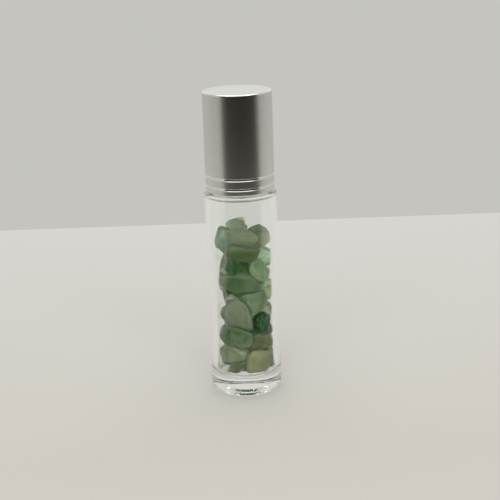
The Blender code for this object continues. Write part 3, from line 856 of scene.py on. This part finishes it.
# Aluminium, diamond cut: a bright mirror with the lines of the tool round it, which in
# truth are finer than drawn. A wave texture has about 3.2 bands for each unit of scale.
bright_aluminium, tree = new_material("aluminium_diamond_cut")
tool_line = 0.0005
wave_bands = 3.2
place = add_node(tree, "ShaderNodeTexCoord")
lines = add_node(
    tree, "ShaderNodeTexWave",
    {
        "Vector": place.outputs["Object"],
        "Scale": 1 / (wave_bands * tool_line),
        "Distortion": 0.3,
    },
    bands_direction="Z",
)
shine = add_node(
    tree, "ShaderNodeMapRange",
    {"Value": lines.outputs["Fac"], "To Min": 0.05, "To Max": 0.10},
)
metal = add_node(
    tree, "ShaderNodeBsdfPrincipled",
    {"Base Color": linear("#EDEDEB"), "Metallic": 1.0, "Roughness": shine.outputs["Result"]},
)
add_node(tree, "ShaderNodeOutputMaterial", {"Surface": metal.outputs["BSDF"]})

shell_mesh = turned("aluminium_shell", shell_outline(), shell_segments)
for face in shell_mesh.polygons:
    reach = math.hypot(face.center.x, face.center.y)
    on_edge = cap_top - edge_round < face.center.z < cap_top and reach > cap_radius - edge_round
    in_ring = reach > ring_foot and any(
        abs(face.center.z - cap_bottom - rise) < ring_half for rise in ring_rises
    )
    face.material_index = 1 if on_edge or in_ring else 0
add_piece(
    "aluminium_shell", shell_mesh, [satin_aluminium, bright_aluminium], "cap",
    ["cap_shell"],
)


# Table
# A pale card that the bottle stands on, part of the set and not of the object. It is
# matt paper, drawn a little warmer and darker towards the camera: painted shade, for
# the light that falls off there.
table_back = 0.180
table_front = -1.5
table_side = 1.5
near_tone = -0.045
gather_core = 0.0055
gather_edge = 0.0070

pale_card, tree = new_material("pale_card_matt")
place = add_node(tree, "ShaderNodeTexCoord")
split = add_node(tree, "ShaderNodeSeparateXYZ", {"Vector": place.outputs["Object"]})
farness = add_node(
    # Painted shade: the card's colour runs darker and warmer towards the camera, for the light
    # that falls off there.
    tree, "ShaderNodeMapRange",
    {"Value": split.outputs["Y"], "From Min": near_tone, "From Max": table_back},
)
card = add_node(
    tree, "ShaderNodeMix",
    {0: farness.outputs["Result"], 6: linear("#BFBCB5"), 7: linear("#CDCCC8")},
    data_type="RGBA",
)
paper = add_node(
    tree, "ShaderNodeBsdfPrincipled",
    {"Base Color": card.outputs[2], "Roughness": 0.9, "Specular IOR Level": 0.2},
)
# The thick base gathers light on the card below it, and such light is not traced. There
# the glass shows the card evenly lit.
lit_card = add_node(
    tree, "ShaderNodeEmission", {"Color": card.outputs[2], "Strength": 1.1}
)
path = add_node(tree, "ShaderNodeLightPath")
reach = add_node(
    tree, "ShaderNodeVectorMath", {0: place.outputs["Object"]}, operation="LENGTH"
)
gathered = add_node(
    tree, "ShaderNodeMapRange",
    {"Value": reach.outputs["Value"], "From Min": gather_edge, "From Max": gather_core},
)
lit = add_node(
    tree, "ShaderNodeMath",
    {0: path.outputs["Is Transmission Ray"], 1: gathered.outputs["Result"]},
    operation="MULTIPLY",
)
mix = add_node(
    tree, "ShaderNodeMixShader",
    {0: lit.outputs["Value"], 1: paper.outputs["BSDF"], 2: lit_card.outputs["Emission"]},
)
add_node(tree, "ShaderNodeOutputMaterial", {"Surface": mix.outputs["Shader"]})
pale_card.cycles.emission_sampling = "NONE"

table_mesh = bpy.data.meshes.new("table")
table_corners = [(-table_side, table_front, 0.0), (table_side, table_front, 0.0)]
table_corners += [(table_side, table_back, 0.0), (-table_side, table_back, 0.0)]
table_mesh.from_pydata(table_corners, [], [(0, 1, 2, 3)])
table_mesh.materials.append(pale_card)
table = bpy.data.objects.new("table", table_mesh)
bpy.context.scene.collection.objects.link(table)


# Dark flags
# Cards of black paper on the camera's side, part of the set. Only gloss shows them: they
# make the dark band down the cap, and keep haze off the glass and the chips.
flag_steps = 40
front_left = 54
front_right = 68
low_side = 105
standing_outline = [(0.190, 0.001), (0.300, 0.001), (0.300, 0.330)]
near_outline = [(0.055, 0.001), (0.160, 0.001)]
low_outline = [(0.022, 0.0008), (0.180, 0.0008)]


def black_card(name, least_passes):
    """Matt black card, warm and dull, that is there only for gloss.

    Light has to have passed through glass at least so many times to meet it.
    """
    material, tree = new_material(name)
    card = add_node(
        tree, "ShaderNodeBsdfPrincipled",
        {"Base Color": linear("#1F1A15"), "Roughness": 0.9, "Specular IOR Level": 0.1},
    )
    clear = add_node(tree, "ShaderNodeBsdfTransparent")
    path = add_node(tree, "ShaderNodeLightPath")
    glossy = add_node(
        tree, "ShaderNodeMath",
        {0: path.outputs["Glossy Depth"], 1: 0.5},
        operation="GREATER_THAN",
    )
    passed = add_node(
        tree, "ShaderNodeMath",
        {0: path.outputs["Transmission Depth"], 1: least_passes - 0.5},
        operation="GREATER_THAN",
    )
    direct = add_node(
        tree, "ShaderNodeMath",
        {0: path.outputs["Diffuse Depth"], 1: 0.5},
        operation="LESS_THAN",
    )
    both = add_node(
        tree, "ShaderNodeMath",
        {0: glossy.outputs["Value"], 1: passed.outputs["Value"]},
        operation="MULTIPLY",
    )
    seen = add_node(
        tree, "ShaderNodeMath",
        {0: both.outputs["Value"], 1: direct.outputs["Value"]},
        operation="MULTIPLY",
    )
    mix = add_node(
        tree, "ShaderNodeMixShader",
        {0: seen.outputs["Value"], 1: clear.outputs["BSDF"], 2: card.outputs["BSDF"]},
    )
    add_node(tree, "ShaderNodeOutputMaterial", {"Surface": mix.outputs["Shader"]})
    return material


def dark_flag(name, left, right, outline, material):
    """A card swept round the bottle, by (radius, height) points.

    It reaches so many degrees to the left and to the right of the camera's side.
    """
    corners = []
    faces = []
    for step in range(flag_steps + 1):
        angle = math.radians(-left + (left + right) * step / flag_steps)
        across, along = math.sin(angle), -math.cos(angle)
        corners += [(radius * across, radius * along, height) for radius, height in outline]
    for step in range(flag_steps):
        for place in range(len(outline) - 1):
            first = step * len(outline) + place
            faces.append((first, first + 1, first + 1 + len(outline), first + len(outline)))
    flag_mesh = bpy.data.meshes.new(name)
    flag_mesh.from_pydata(corners, [], faces)
    flag_mesh.materials.append(material)
    flag = bpy.data.objects.new(name, flag_mesh)
    flag.visible_camera = False
    flag.visible_diffuse = False
    flag.visible_shadow = False
    bpy.context.scene.collection.objects.link(flag)


card_for_gloss = black_card("black_card_matt", 0)
card_in_glass = black_card("black_card_matt_in_glass", 1)
dark_flag("standing_flag", front_left, front_right, standing_outline, card_for_gloss)
dark_flag("near_flag", front_left, front_right, near_outline, card_for_gloss)
dark_flag("low_flag", low_side, low_side, low_outline, card_in_glass)


# Light
# A pale room lights the bottle evenly from all sides, and soft boxes stand above, behind
# and in front of it. The camera, gloss and glass see the room as a plain grey wall.
world = bpy.data.worlds.new("pale_room")
bpy.context.scene.world = world
world.use_nodes = True
tree = world.node_tree
tree.nodes.clear()
path = add_node(tree, "ShaderNodeLightPath")
# Painted light: seen through the glass, the wall is drawn a little brighter, for the
# light that the glass gathers.
wall_glow = add_node(
    tree, "ShaderNodeMapRange",
    {"Value": path.outputs["Is Transmission Ray"], "To Min": 1.0, "To Max": 1.22},
)
wall_seen = add_node(
    tree, "ShaderNodeBackground",
    {"Color": linear("#C5C4BF"), "Strength": wall_glow.outputs["Result"]},
)
room_light = add_node(
    tree, "ShaderNodeBackground", {"Color": linear("#FFFDFA"), "Strength": 0.50}
)
gloss_or_camera = add_node(
    tree, "ShaderNodeMath",
    {0: path.outputs["Is Camera Ray"], 1: path.outputs["Is Glossy Ray"]},
    operation="MAXIMUM",
)
seen = add_node(
    tree, "ShaderNodeMath",
    {0: gloss_or_camera.outputs["Value"], 1: path.outputs["Is Transmission Ray"]},
    operation="MAXIMUM",
)
room = add_node(
    tree, "ShaderNodeMixShader",
    {
        0: seen.outputs["Value"],
        1: room_light.outputs["Background"],
        2: wall_seen.outputs["Background"],
    },
)
add_node(tree, "ShaderNodeOutputWorld", {"Surface": room.outputs["Shader"]})


def soft_box(name, place, aim, width, depth, power):
    """A soft lamp at a place, aimed at a point, with its two sides and its watts."""
    lamp = bpy.data.lights.new(name, "AREA")
    lamp.shape = "RECTANGLE"
    lamp.size = width
    lamp.size_y = depth
    lamp.energy = power
    box = bpy.data.objects.new(name, lamp)
    bpy.context.scene.collection.objects.link(box)
    turn = (Vector(place) - Vector(aim)).to_track_quat("Z", "Y")
    box.matrix_world = Matrix.Translation(place) @ turn.to_matrix().to_4x4()
    box.visible_camera = False
    return box


# The back box brightens the cap's top, and the front box the chips and the table.
soft_box("top_soft_box", (0.0, 0.10, 0.75), (0.0, 0.0, 0.04), 0.7, 0.7, 3.0)
back_box = soft_box("back_soft_box", (0.0, 0.80, 0.36), (0.0, 0.0, 0.05), 0.9, 0.4, 0.40)
back_box.visible_transmission = False
front_box = soft_box("front_soft_box", (0.0, -0.60, 0.45), (0.0, 0.0, 0.04), 0.9, 0.6, 3.5)
front_box.visible_glossy = False

# Light that is caught in the thick base and the walls needs many turns to get out.
most_turns = 64
cycles = bpy.context.scene.cycles
cycles.max_bounces = most_turns
cycles.glossy_bounces = most_turns
cycles.transmission_bounces = most_turns


# Camera
# At the photograph's place and angle, solved from the outline of the cap and the body.
camera_distance = 0.318
camera_height = 0.1357
camera_pitch = 16.60
camera_roll = -2.05
focal_pixels = 1182
frame_pixels = 500
axis_pixel = 242.41
sensor_width = 36.0

camera_data = bpy.data.cameras.new("camera")
camera_data.sensor_width = sensor_width
camera_data.lens = sensor_width * focal_pixels / frame_pixels
camera_data.shift_x = (frame_pixels / 2 - axis_pixel) / frame_pixels
camera_data.clip_start = 0.01
camera = bpy.data.objects.new("camera", camera_data)
bpy.context.scene.collection.objects.link(camera)
camera.matrix_world = (
    Matrix.Translation((0.0, -camera_distance, camera_height))
    @ Matrix.Rotation(math.radians(90 - camera_pitch), 4, "X")
    @ Matrix.Rotation(math.radians(camera_roll), 4, "Z")
)
bpy.context.scene.camera = camera
bpy.context.scene.view_settings.view_transform = "Standard"
